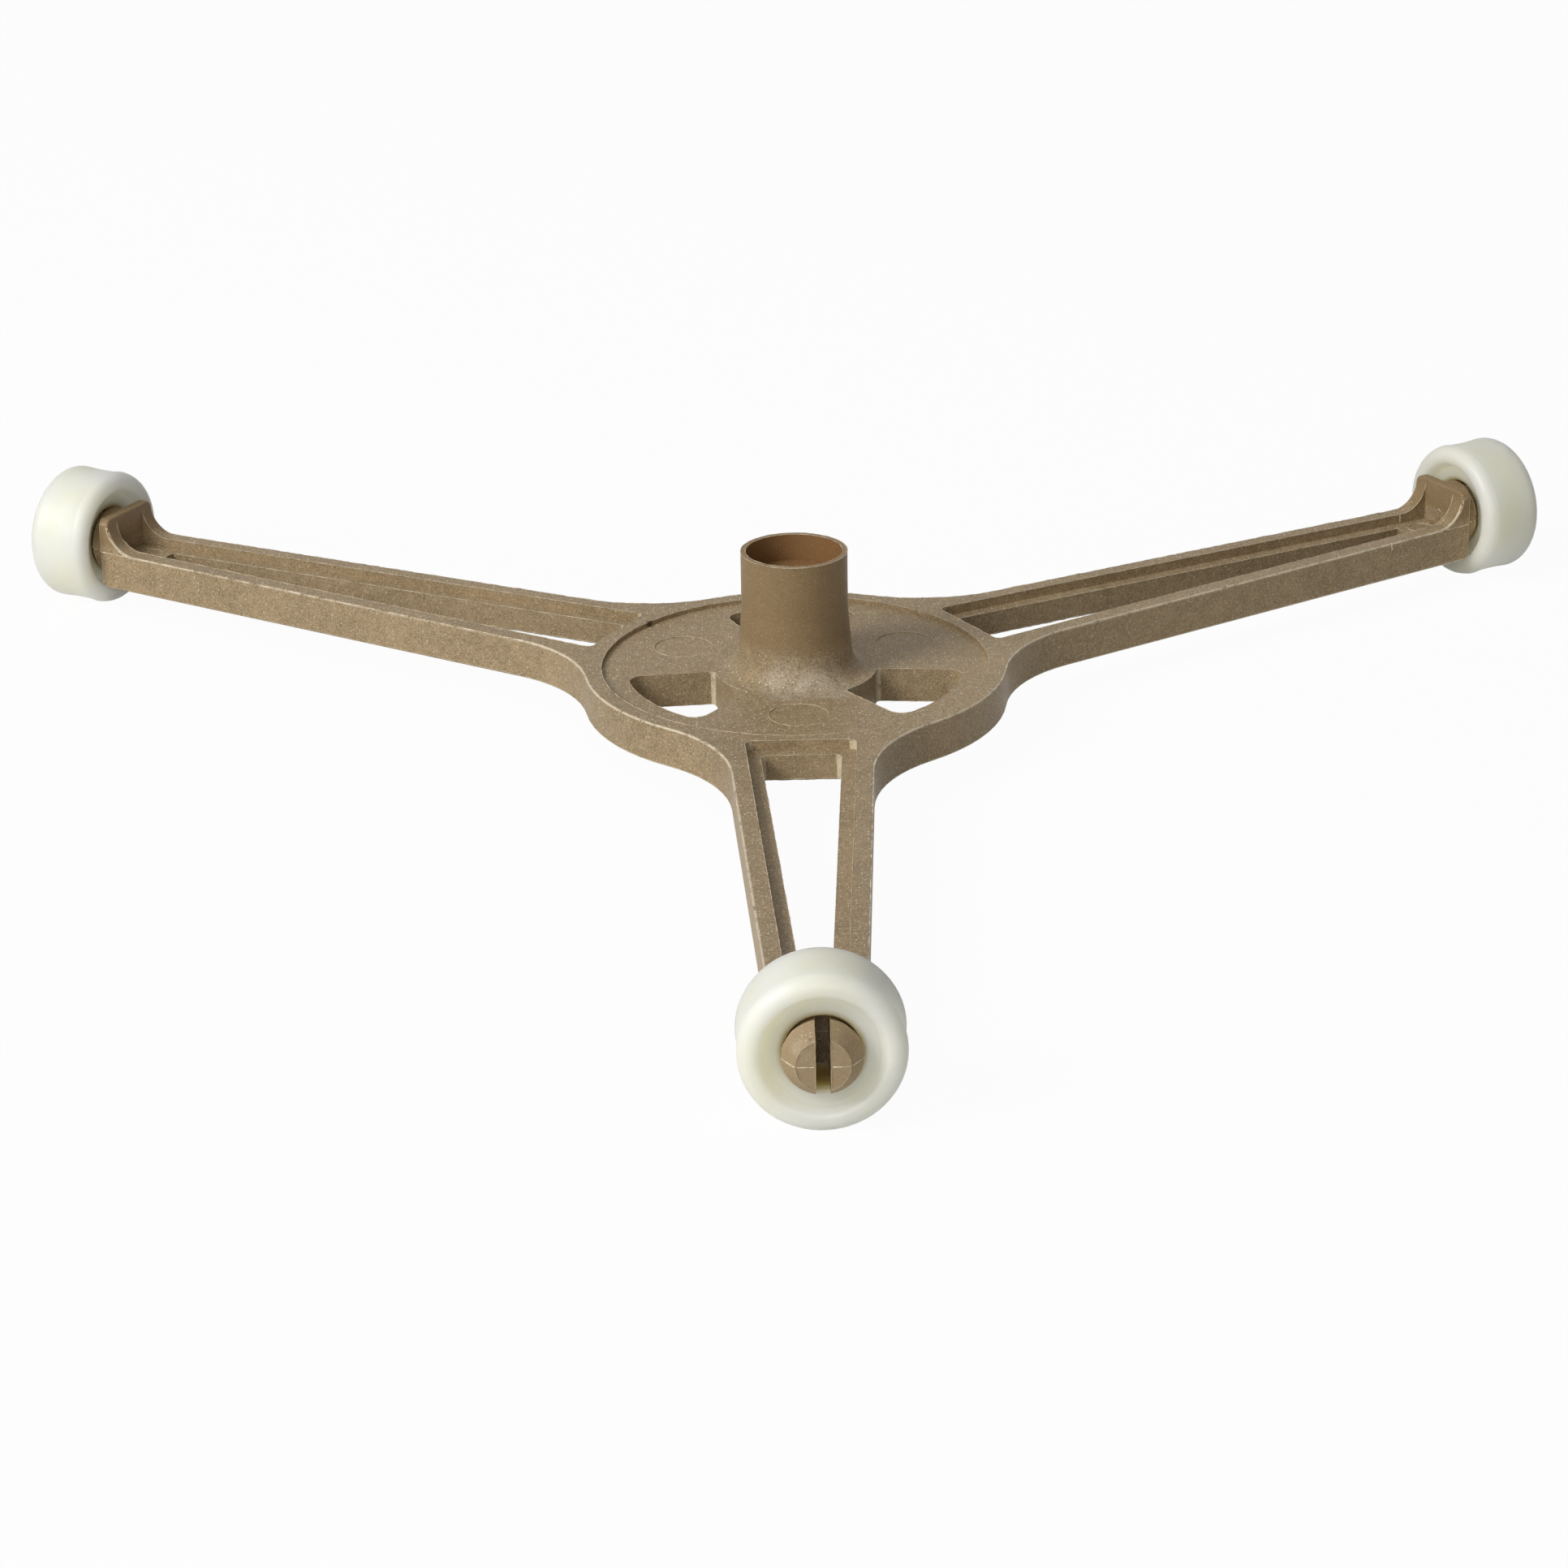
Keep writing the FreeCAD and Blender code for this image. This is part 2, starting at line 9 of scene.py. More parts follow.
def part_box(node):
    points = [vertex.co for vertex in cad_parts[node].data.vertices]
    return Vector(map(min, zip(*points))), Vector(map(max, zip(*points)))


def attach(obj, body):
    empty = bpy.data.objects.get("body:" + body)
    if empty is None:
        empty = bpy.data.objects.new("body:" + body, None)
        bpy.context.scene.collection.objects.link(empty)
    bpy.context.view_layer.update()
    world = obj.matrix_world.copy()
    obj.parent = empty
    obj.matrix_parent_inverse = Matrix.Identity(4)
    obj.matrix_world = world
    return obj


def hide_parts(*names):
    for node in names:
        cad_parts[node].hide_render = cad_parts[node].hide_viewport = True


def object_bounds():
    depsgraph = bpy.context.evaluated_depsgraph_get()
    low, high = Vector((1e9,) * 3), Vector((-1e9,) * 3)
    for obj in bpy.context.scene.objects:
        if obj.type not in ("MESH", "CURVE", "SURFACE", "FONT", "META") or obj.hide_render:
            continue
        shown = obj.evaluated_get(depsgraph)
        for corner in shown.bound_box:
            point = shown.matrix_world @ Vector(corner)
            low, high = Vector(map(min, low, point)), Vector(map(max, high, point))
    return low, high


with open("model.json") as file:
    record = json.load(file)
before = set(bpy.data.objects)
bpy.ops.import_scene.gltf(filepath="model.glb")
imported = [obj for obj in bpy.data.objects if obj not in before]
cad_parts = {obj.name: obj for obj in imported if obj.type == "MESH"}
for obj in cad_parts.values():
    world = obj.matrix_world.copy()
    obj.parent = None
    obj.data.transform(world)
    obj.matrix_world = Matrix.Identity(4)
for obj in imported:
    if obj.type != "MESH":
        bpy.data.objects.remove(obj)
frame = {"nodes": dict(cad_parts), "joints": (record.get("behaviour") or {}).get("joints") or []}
cadLow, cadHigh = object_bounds()
mm = 0.001
print("frame loaded:", sorted(frame["nodes"]))


# node trees: a wire is one socket, and sums on wires add Math nodes
class Wire:
    def __init__(self, web, socket):
        self.web = web
        self.socket = socket

    def combine(self, operation, first, second):
        return self.web.node("ShaderNodeMath", {"operation": operation}, {0: first, 1: second})

    def __add__(self, other):
        return self.combine("ADD", self, other)

    def __sub__(self, other):
        return self.combine("SUBTRACT", self, other)

    def __rsub__(self, other):
        return self.combine("SUBTRACT", other, self)

    def __mul__(self, other):
        return self.combine("MULTIPLY", self, other)

    __radd__ = __add__
    __rmul__ = __mul__


# any node: its type, its settings, then the values or wires of its sockets
class Web:
    def __init__(self, tree):
        self.tree = tree

    def node(self, kind, settings, sockets, out=0):
        made = self.tree.nodes.new(kind)
        for name, value in settings.items():
            setattr(made, name, value)
        for name, value in sockets.items():
            self.feed(made.inputs[name], value)
        return Wire(self, made.outputs[out])

    def feed(self, socket, value):
        if isinstance(value, Wire):
            self.tree.links.new(value.socket, socket)
        else:
            socket.default_value = value

    # 0 below the first value, 1 above the second
    def step(self, wire, low, high):
        return self.node("ShaderNodeMapRange", {"interpolation_type": "SMOOTHSTEP"},
                         {"Value": wire, "From Min": low, "From Max": high})

    # 1 from the second value to the third, 0 outside the first and the fourth
    def band(self, wire, start, full, fade, end):
        return self.step(wire, start, full) * (1 - self.step(wire, fade, end))


class Finish(Web):
    def __init__(self, name):
        self.material = bpy.data.materials.new(name)
        self.material.use_nodes = True
        super().__init__(self.material.node_tree)
        self.shader = self.tree.nodes["Principled BSDF"]
        self.place = self.node("ShaderNodeTexCoord", {}, {}, "Object")

    def noise(self, size, detail, roughness, place=None):
        return self.node("ShaderNodeTexNoise", {}, {"Vector": place or self.place, "Scale": 1 / size,
                                                   "Detail": detail, "Roughness": roughness})

    # small round spots in a share of the cells of a grid
    def spots(self, size, share, reach):
        cell = {"Vector": self.place, "Scale": 1 / size}
        draw = self.node("ShaderNodeTexVoronoi", {}, cell, "Color")
        draw = self.node("ShaderNodeSeparateColor", {}, {0: draw}, 0)
        distance = self.node("ShaderNodeTexVoronoi", {}, cell, "Distance")
        return self.step(draw, 1 - share, 1 - share * 0.6) * (1 - self.step(distance, reach * 0.5, reach))

    # long thin scratches along one direction
    def scratches(self, length, width, turn, low, high):
        stretch = {"Vector": self.place, "Rotation": (0, 0, turn), "Scale": (1, width / length, 1)}
        along = self.node("ShaderNodeMapping", {}, stretch)
        return self.step(self.noise(width, 1.0, 0.4, along), low, high)

    # 1 near a point of the object, 0 further off
    def near(self, point, reach):
        ends = {0: self.place, 1: point}
        distance = self.node("ShaderNodeVectorMath", {"operation": "DISTANCE"}, ends, "Value")
        return 1 - self.step(distance, reach * 0.4, reach)

    def attribute(self, name):
        return self.node("ShaderNodeAttribute", {"attribute_name": name}, {}, "Fac")

    def mix(self, factor, first, second):
        return self.node("ShaderNodeMix", {"data_type": "RGBA"}, {0: factor, 6: first, 7: second}, 2)

    # lays one colour after another over the first, each through its own mask
    def cover(self, colour, layers, masks):
        for name, (shade, amount) in layers.items():
            colour = self.mix(masks[name] * amount, colour, shade)
        return colour

    def bump(self, height, distance, strength=1.0):
        return self.node("ShaderNodeBump", {}, {"Height": height, "Distance": distance, "Strength": strength})

    def paint(self, **sockets):
        for name, value in sockets.items():
            self.feed(self.shader.inputs[name.replace("_", " ")], value)
        return self.material


# a colour as a screen shows it, in levels of 255
def srgb(red, green, blue):
    shares = [level / 255 for level in (red, green, blue)]
    linear = [v / 12.92 if v <= 0.04045 else ((v + 0.055) / 1.055) ** 2.4 for v in shares]
    return (*linear, 1.0)


# geometry trees: named inputs with their values, and one geometry out
class Shaper(Web):
    def __init__(self, name, inputs):
        super().__init__(bpy.data.node_groups.new(name, "GeometryNodeTree"))
        self.sockets = {}
        self.tree.interface.new_socket("Geometry", in_out="OUTPUT", socket_type="NodeSocketGeometry")
        self.tree.interface.new_socket("Geometry", in_out="INPUT", socket_type="NodeSocketGeometry")
        for label, kind in inputs.items():
            made = self.tree.interface.new_socket(label, in_out="INPUT", socket_type=f"NodeSocket{kind}")
            self.sockets[label] = made.identifier
        self.given = self.tree.nodes.new("NodeGroupInput")
        self.result = self.tree.nodes.new("NodeGroupOutput")

    def input(self, label):
        return Wire(self, self.given.outputs[label])

    def end(self, shape, material):
        shape = self.node("GeometryNodeRealizeInstances", {}, {"Geometry": shape})
        shape = self.node("GeometryNodeSetMaterial", {}, {"Geometry": shape, "Material": material})
        self.feed(self.result.inputs["Geometry"], shape)

    def store(self, shape, name, value, domain="POINT"):
        return self.node("GeometryNodeStoreNamedAttribute", {"data_type": "FLOAT", "domain": domain},
                         {"Geometry": shape, "Name": name, "Value": value})

    # runs the tree on an object and leaves a plain mesh in its place
    def shape(self, thing, name, values):
        modifier = thing.modifiers.new(self.tree.name, "NODES")
        modifier.node_group = self.tree
        for label, value in values.items():
            modifier[self.sockets[label]] = value
        graph = bpy.context.evaluated_depsgraph_get()
        mesh = bpy.data.meshes.new_from_object(thing.evaluated_get(graph), depsgraph=graph)
        mesh.name = name
        bpy.data.objects.remove(thing)
        return addObject(name, mesh)


def addObject(name, data):
    made = bpy.data.objects.new(name, data)
    bpy.context.scene.collection.objects.link(made)
    return made


brownPlastic = {
    "base": srgb(178, 155, 121),
    "dark": srgb(128, 110, 81),
    "layers": {  # colour of each layer, and how much of it covers those before
        "smooth": (srgb(136, 112, 78), 0.75),  # tube and end plates, with hardly a fleck
        "cup_shade": (srgb(136, 98, 58), 0.8),  # painted shade, with a brown bounce tint, inside the tube's cup
        "pin": (srgb(158, 136, 105), 0.75),
        "speck": (srgb(96, 78, 52), 0.45),
        # pale flakes in the plastic, partly painted glints
        "fleck": (srgb(216, 200, 170), 0.27),
        # painted glints: bright spots that stand in for light caught by the flakes
        "glint": (srgb(236, 226, 204), 0.4),
        "scratch": (srgb(216, 200, 170), 0.16),
        # whitish dust, and a painted sheen on the fillet at the tube's foot
        "dust_and_sheen": (srgb(222, 214, 200), 0.42),
        # pale crests: rubbed wear and painted edge highlights
        "wear_and_highlight": (srgb(222, 208, 180), 0.8),
        "flash": (srgb(238, 226, 202), 0.85),
        "nick": (srgb(74, 58, 38), 0.9),
    },
    "grain": (0.24 * mm, 3.0, 0.65),  # size, detail and roughness of each noise
    "mottle": (1.6 * mm, 3.0, 0.6),
    "cloud": (16 * mm, 3.0, 0.55),
    "patches": {  # shares of grain, mottle and cloud, then the limits between which a patch fades in
        "tone": (0.65, 0.2, 0.15, 0.34, 0.64),
        "wear_and_highlight": (0.5, 0.5, 0.0, 0.3, 0.52),
        "flash": (0.4, 0.6, 0.0, 0.36, 0.52),
        "dust_and_sheen": (0.55, 0.45, 0.0, 0.3, 0.7),
    },
    "flecks": (0.26 * mm, 0.42, 0.48),  # size of a cell, share of cells with a spot, reach of the spot
    "glintSpots": (0.42 * mm, 0.26, 0.34),
    "specks": (1.3 * mm, 0.06, 0.18),
    "scratches": [  # length, width, turn, and the limits between which one fades in
        (9 * mm, 0.14 * mm, 0.5, 0.68, 0.78),
        (7 * mm, 0.12 * mm, -0.9, 0.7, 0.8),
    ],
    "topLimits": (0.3, 0.9),  # from a wall to a top
    "topGlintGain": 1.2,  # flecks show most on the tops, as painted glints
    "smoothCalm": 0.75,  # share of the flecks that smooth plastic lacks
    "pinCalm": 0.6,
    "pinUnworn": 0.7,
    "roughness": 0.42,
    "roughnessDrift": 0.2,
    "shine": 0.22,
    "grainHeight": 0.022 * mm,
    "reliefs": {"grain": 0.5, "fleck": 0.6, "glint": 0.8, "scratch": 0.2, "speck": 0.3},  # of that height
    "tubeHeights": (7.5 * mm, 10.5 * mm),
    "tubeRadii": (7.6 * mm, 8.6 * mm),
    "cupHeights": (16.0 * mm, 17.0 * mm),
    "cupRadii": (6.2 * mm, 6.4 * mm),
    "plateHeights": (5.4 * mm, 6.6 * mm),
    "plateReach": (88 * mm, 92 * mm, 107.5 * mm, 108.5 * mm),
    "pinReach": (109 * mm, 111 * mm),
    "cleanHeights": (8.7 * mm, 9.3 * mm, 12 * mm, 13 * mm),  # tops of the end plates, where no edge gets pale wear or painted highlight
    "nickPlace": (-18.6 * mm, 16.1 * mm, 5.0 * mm),
    "nickReach": 0.8 * mm,
    "dustAndSheenPlaces": [  # centre and reach of each patch of dust and painted sheen
        # at the tube's foot: painted sheen on its fillet, with dust
        ((-1.5 * mm, -8.6 * mm, 5.4 * mm), 4.5 * mm),
        ((4.0 * mm, -8.2 * mm, 5.4 * mm), 4.5 * mm),
        ((-1.9 * mm, -115.3 * mm, 6.6 * mm), 1.8 * mm),
    ],
}


def makeBrownPlastic(look):
    finish = Finish("brown_plastic")
    grain = finish.noise(*look["grain"])
    mottle = finish.noise(*look["mottle"])
    cloud = finish.noise(*look["cloud"])
    fleck = finish.spots(*look["flecks"])
    glint = finish.spots(*look["glintSpots"])
    speck = finish.spots(*look["specks"])
    scratch = sum(finish.scratches(*run) for run in look["scratches"])

    def patchy(name):
        grainShare, mottleShare, cloudShare, low, high = look["patches"][name]
        return finish.step(grain * grainShare + mottle * mottleShare + cloud * cloudShare, low, high)

    # zones of the moulding
    height = finish.node("ShaderNodeSeparateXYZ", {}, {0: finish.place}, "Z")
    level = {0: finish.place, 1: (1, 1, 0)}
    flat = finish.node("ShaderNodeVectorMath", {"operation": "MULTIPLY"}, level)
    radius = finish.node("ShaderNodeVectorMath", {"operation": "LENGTH"}, {0: flat}, "Value")
    onTube = finish.step(height, *look["tubeHeights"]) * (1 - finish.step(radius, *look["tubeRadii"]))
    # painted shade inside the tube's cup is laid through this zone
    inCup = finish.step(height, *look["cupHeights"]) * (1 - finish.step(radius, *look["cupRadii"]))
    onPlate = finish.step(height, *look["plateHeights"]) * finish.band(radius, *look["plateReach"])
    onPin = finish.step(radius, *look["pinReach"])
    clean = finish.band(height, *look["cleanHeights"])
    smooth = onTube + onPlate
    calm = 1 - onPin * look["pinCalm"]
    # painted glints: flecks and bright spots are made stronger on upward faces
    onTop = finish.step(finish.attribute("upward"), *look["topLimits"])
    flecked = (1 - smooth * look["smoothCalm"]) * calm * (onTop * look["topGlintGain"] + 1)

    # wear and marks, with painted edge highlights on the pale crests and a painted sheen at the tube's foot
    # pale crests: rubbed wear and painted edge highlights
    wear_and_highlight = finish.attribute("edge") * patchy("wear_and_highlight") * (1 - clean) * (1 - onPin * look["pinUnworn"])
    flash = finish.attribute("flash") * patchy("flash")
    # dust, and a painted sheen on the fillet at the tube's foot
    dust_and_sheen = sum(finish.near(place, reach) for place, reach in look["dustAndSheenPlaces"]) * patchy("dust_and_sheen")
    nick = finish.near(look["nickPlace"], look["nickReach"])

    colour = finish.mix(patchy("tone"), look["dark"], look["base"])
    colour = finish.cover(colour, look["layers"], {
        "smooth": smooth, "cup_shade": inCup, "pin": onPin, "speck": speck, "fleck": fleck * flecked,
        "glint": glint * flecked, "scratch": scratch, "dust_and_sheen": dust_and_sheen, "wear_and_highlight": wear_and_highlight, "flash": flash,
        "nick": nick})
    roughness = look["roughness"] + (mottle - fleck + dust_and_sheen) * look["roughnessDrift"]
    share = look["reliefs"]
    raised = (fleck * share["fleck"] + glint * share["glint"]) * (1 - smooth)
    sunk = scratch * share["scratch"] + speck * share["speck"]
    relief = (grain * share["grain"] + raised - sunk) * calm
    bump = finish.bump(relief, look["grainHeight"])
    finish.paint(Specular_IOR_Level=look["shine"])
    return finish.paint(Base_Color=colour, Roughness=roughness, Normal=bump)


ivoryPlastic = {
    "base": srgb(251, 248, 227),
    "warm": srgb(248, 243, 215),
    "layers": {  # colour of each layer, and how much of it covers those before
        "speck": (srgb(196, 178, 120), 0.8),
        # painted shade and brown bounce tint on the bore wall
        "bore": (srgb(196, 178, 104), 0.8),
        "seam": (srgb(250, 249, 238), 1.0),
    },
    "cloud": (8 * mm, 3.0, 0.5),  # size, detail and roughness of each noise
    "grain": (0.6 * mm, 2.0, 0.5),
    "cloudLimits": (0.35, 0.68),
    "specks": (2.6 * mm, 0.05, 0.1),  # size of a cell, share of cells with a spot, reach of the spot
    "roughness": 0.36,
    "roughnessDrift": 0.12,
    "grainHeight": 0.012 * mm,
    "grainStrength": 0.5,
    "depth": 7.0 * mm,  # how far light travels in the plastic
    "boreShadeRing": (4.15 * mm, 5.0 * mm),  # painted shade and brown bounce tint fade out between these radii
}


def makeIvoryPlastic(look):
    finish = Finish("ivory_plastic")
    cloud = finish.noise(*look["cloud"])
    grain = finish.noise(*look["grain"])
    speck = finish.spots(*look["specks"])
    # painted shade and brown bounce tint near the bore
    bore = 1 - finish.step(finish.attribute("radius"), *look["boreShadeRing"])
    colour = finish.mix(finish.step(cloud, *look["cloudLimits"]), look["base"], look["warm"])
    masks = {"speck": speck, "bore": bore, "seam": finish.attribute("seam")}
    colour = finish.cover(colour, look["layers"], masks)
    roughness = look["roughness"] + grain * look["roughnessDrift"]
    bump = finish.bump(grain, look["grainHeight"], look["grainStrength"])
    finish.paint(Subsurface_Weight=1.0, Subsurface_Radius=(1.0, 1.0, 1.0), Subsurface_Scale=look["depth"])
    return finish.paint(Base_Color=colour, Roughness=roughness, Normal=bump)


brown = makeBrownPlastic(brownPlastic)
ivory = makeIvoryPlastic(ivoryPlastic)
print("plastics made")


carrierMoulding = {
    "weld": 0.0005 * mm,
    "cutMargin": 0.0001 * mm,
    "thinFace": 0.25 * mm,
    "tightBend": 0.7 * mm,  # narrow faces bent tighter than this radius are small rounds
    "leastBend": 5,  # degrees between two faces of a round
    "crestSlopes": (0.25, 0.97),  # upward share of a face's direction, on rounds beside a top
    "uprightSlope": 0.1,  # the most of it on upright rounds
    "crestAngle": 50,  # degrees; edges sharper than this get a crest ridge, pale with rubbed wear and painted highlight
    "crestThickness": 0.065 * mm,
    "armTop": 5.2 * mm,
    "flashDrop": 0.1 * mm,  # parting line, below the top of the arms
    "flashThickness": 0.1 * mm,
    "ridgeSides": 5,
    "step": 0.4 * mm,
    "wobble": 0.05 * mm,
    "wobbleLength": 0.9 * mm,
    "wobbleSeed": 3.0,
    "gateCentre": (90.2 * mm, 51.95 * mm, 5.85 * mm),  # on the inner face of the right end plate
    "gateRadius": 0.42 * mm,
    "gateTurn": 270,  # degrees of the curl
    "gateSteps": 8,
    "gateShrink": 0.06,  # share of the radius lost at each step
    "markArm": 1,  # the right arm
    "marks": [  # millimetres along the arm, across it and up, from the hub's axis
        [(91.5, -5.3, 5.24), (91.5, -5.74, 5.18), (91.5, -5.83, 4.3)],
        [(100.0, 3.15, 5.15), (100.0, 3.14, 4.0)],
    ],
}


# whether a narrow face is part of a small round
def isRound(face, look):
    longest = max(edge.calc_length() for edge in face.edges)
    width = face.calc_area() / longest
    bend = max(edge.calc_face_angle(0.0) for edge in face.edges if edge.calc_length() > longest / 2)
    bent = bend > math.radians(look["leastBend"]) and width / bend < look["tightBend"]
    return bent and width < look["thinFace"]


# the moulding as one closed mesh with the solid's own shading; "edge" is 1 on the crests of small rounds
def solidCopy(node, look):
    source = frame["nodes"][node].data
    shape = bmesh.new()
    shape.from_mesh(source)
    origin = shape.faces.layers.int.new("origin")
    for face in shape.faces:
        face[origin] = face.index
    bmesh.ops.remove_doubles(shape, verts=shape.verts, dist=look["weld"])
    crest = shape.faces.layers.float.new("edge")
    low, high = look["crestSlopes"]
    for face in shape.faces:
        slope = abs(face.normal.z)
        onCrest = low < slope < high or slope < look["uprightSlope"]
        face[crest] = float(onCrest and isRound(face, look))
        face.smooth = True
    mesh = bpy.data.meshes.new("solid")
    shape.to_mesh(mesh)
    shape.free()
    normals = []
    for face, first in zip(mesh.polygons, mesh.attributes["origin"].data):
        corners = source.polygons[first.value].loop_indices
        places = [source.vertices[source.loops[corner].vertex_index].co for corner in corners]
        for number in face.vertices:
            gaps = [(place - mesh.vertices[number].co).length for place in places]
            normals.append(source.corner_normals[corners[gaps.index(min(gaps))]].vector.copy())
    mesh.attributes.remove(mesh.attributes["origin"])
    mesh.normals_split_custom_set(normals)
    return addObject("solid", mesh)


# outer outline of the moulding at the height of the mould's parting line
def partingOutline(node, look):
    shape = bmesh.new()
    shape.from_mesh(frame["nodes"][node].data)
    bmesh.ops.remove_doubles(shape, verts=shape.verts, dist=look["weld"])
    everything = shape.verts[:] + shape.edges[:] + shape.faces[:]
    middle = (0, 0, look["armTop"] - look["flashDrop"])
    cut = bmesh.ops.bisect_plane(shape, geom=everything, plane_co=middle, plane_no=(0, 0, 1),
                                 dist=look["cutMargin"])
    waiting = {item: True for item in cut["geom_cut"] if isinstance(item, bmesh.types.BMEdge)}
    loops = []
    while waiting:  # in the order of the cut, so that each run gives the same loops
        loop = [next(iter(waiting))]
        del waiting[loop[0]]
        for edge in loop:
            beside = [other for vert in edge.verts for other in vert.link_edges if other in waiting]
            for other in beside:
                del waiting[other]
            loop.extend(beside)
        loops.append(loop)
    reach = [max(vert.co.to_2d().length for edge in loop for vert in edge.verts) for loop in loops]
    outer = loops[reach.index(max(reach))]
    verts = dict.fromkeys(vert for edge in outer for vert in edge.verts)
    number = {vert: place for place, vert in enumerate(verts)}
    edges = [[number[vert] for vert in edge.verts] for edge in outer]
    mesh = bpy.data.meshes.new("parting_outline")
    mesh.from_pydata([vert.co[:] for vert in verts], edges, [])
    shape.free()
    print("parting line has", len(outer), "edges of", len(loops), "loops")
    return addObject("parting_outline", mesh)


# curl of plastic left where the mould's gate was broken off, and short seams beside it
def mouldMarks(look):
    along = Vector(frame["joints"][look["markArm"]]["axis"])
    up = Vector((0, 0, 1))
    across = up.cross(along)
    centre = Vector(look["gateCentre"])
    curl = []
    for number in range(look["gateSteps"] + 1):
        turn = math.radians(look["gateTurn"]) * number / look["gateSteps"]
        reach = look["gateRadius"] * (1 - look["gateShrink"] * number)
        curl.append(centre - across * reach * math.cos(turn) + up * reach * math.sin(turn))
    seams = [[(along * x + across * y + up * z) * mm for x, y, z in mark] for mark in look["marks"]]
    points, edges = [], []
    for line in [curl] + seams:
        edges += [(len(points) + number, len(points) + number + 1) for number in range(len(line) - 1)]
        points += line
    mesh = bpy.data.meshes.new("mould_marks")
    mesh.from_pydata(points, edges, [])
    return addObject("mould_marks", mesh)


# thin ridges along the parting line, the marks and every sharp outer edge
def makeRidgeTree(material):
    tree = Shaper("moulding_ridges", {
        "Parting Line": "Object", "Marks": "Object", "Flash Thickness": "Float",
        "Crest Angle": "Float", "Crest Thickness": "Float", "Sides": "Int", "Step": "Float",
        "Wobble": "Float", "Wobble Scale": "Float", "Seed": "Float"})
    noise = {"W": tree.input("Seed"), "Scale": tree.input("Wobble Scale"), "Detail": 2.0}
    drift = tree.node("ShaderNodeTexNoise", {"noise_dimensions": "4D"}, noise, "Color")
    middle = {0: drift, 1: (0.5, 0.5, 0.5)}
    drift = tree.node("ShaderNodeVectorMath", {"operation": "SUBTRACT"}, middle)
    size = {0: drift, "Scale": tree.input("Wobble")}
    drift = tree.node("ShaderNodeVectorMath", {"operation": "SCALE"}, size)
    swell = tree.step(tree.node("ShaderNodeTexNoise", {"noise_dimensions": "4D"}, noise), 0.35, 0.7)

    def ridge(curve, thickness, attribute):
        pace = {"Curve": curve, "Length": tree.input("Step")}
        curve = tree.node("GeometryNodeResampleCurve", {"mode": "LENGTH"}, pace)
        curve = tree.node("GeometryNodeSetPosition", {}, {"Geometry": curve, "Offset": drift})
        ring = {"Resolution": tree.input("Sides"), "Radius": tree.input(thickness)}
        ring = tree.node("GeometryNodeCurvePrimitiveCircle", {}, ring)
        tube = tree.node("GeometryNodeCurveToMesh", {}, {
            "Curve": curve, "Profile Curve": ring, "Scale": swell * 0.9 + 0.3, "Fill Caps": True})
        return tree.store(tube, attribute, 1.0, "FACE")

    bend = tree.node("GeometryNodeInputMeshEdgeAngle", {}, {}, "Signed Angle")
    limit = {0: bend, 1: tree.input("Crest Angle")}
    sharp = tree.node("ShaderNodeMath", {"operation": "GREATER_THAN"}, limit)
    crests = {"Mesh": tree.input("Geometry"), "Selection": sharp}
    crests = tree.node("GeometryNodeMeshToCurve", {}, crests)
    shapes = [tree.input("Geometry"), ridge(crests, "Crest Thickness", "edge")]
    for label in ("Parting Line", "Marks"):
        path = tree.node("GeometryNodeObjectInfo", {}, {"Object": tree.input(label)}, "Geometry")
        path = tree.node("GeometryNodeMeshToCurve", {}, {"Mesh": path})
        shapes.append(ridge(path, "Flash Thickness", "flash"))
    whole = tree.node("GeometryNodeJoinGeometry", {}, {})
    for shape in shapes:
        tree.feed(whole.socket.node.inputs[0], shape)
    normal = tree.node("GeometryNodeInputNormal", {}, {})
    upward = tree.node("ShaderNodeSeparateXYZ", {}, {0: normal}, "Z")
    tree.end(tree.store(whole, "upward", upward, "FACE"), material)
    return tree


def makeCarrier(look):
    outline = partingOutline("carrier", look)
    marks = mouldMarks(look)
    tree = makeRidgeTree(brown)
    piece = tree.shape(solidCopy("carrier", look), "carrier_moulding", {
        "Parting Line": outline, "Marks": marks, "Flash Thickness": look["flashThickness"],
        "Crest Angle": math.radians(look["crestAngle"]), "Crest Thickness": look["crestThickness"],
        "Sides": look["ridgeSides"], "Step": look["step"], "Wobble": look["wobble"],
        "Wobble Scale": 1 / look["wobbleLength"], "Seed": look["wobbleSeed"]})
    for path in (outline, marks):
        bpy.data.objects.remove(path)
    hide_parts("carrier")
    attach(piece, "carrier")
    print("carrier_moulding has", len(piece.data.polygons), "faces")


makeCarrier(carrierMoulding)


rollerWheel = {
    "edgeRadius": 1.5 * mm,
    "edgeShare": 0.995,  # of the edge's radius, so that its round ends short of the next point
    "treadLand": 0.15 * mm,
    "treadHollow": 0.12 * mm,
    "seamHeight": 0.05 * mm,  # fine line where the tread meets its inner rounded edge
    "seamWidth": 0.15 * mm,
    "seamFade": (0.1 * mm, 0.02 * mm),  # below the tread, where the seam's colour sets in
    "rimLand": 0.65 * mm,
    "rimRadius": 0.7 * mm,
    "dishSlopeWidth": 0.7 * mm,
    "dishCornerRadius": 0.4 * mm,
    "outerDishDepth": 1.3 * mm,
    "innerDishDepth": 1.6 * mm,
    "boreRadius": 4.1 * mm,
    "boreMouth": 0.3 * mm,
    "mouthRound": 0.08 * mm,
    "segments": 144,
    "cornerSteps": 8,
    "sharpAngle": 35,  # degrees
}


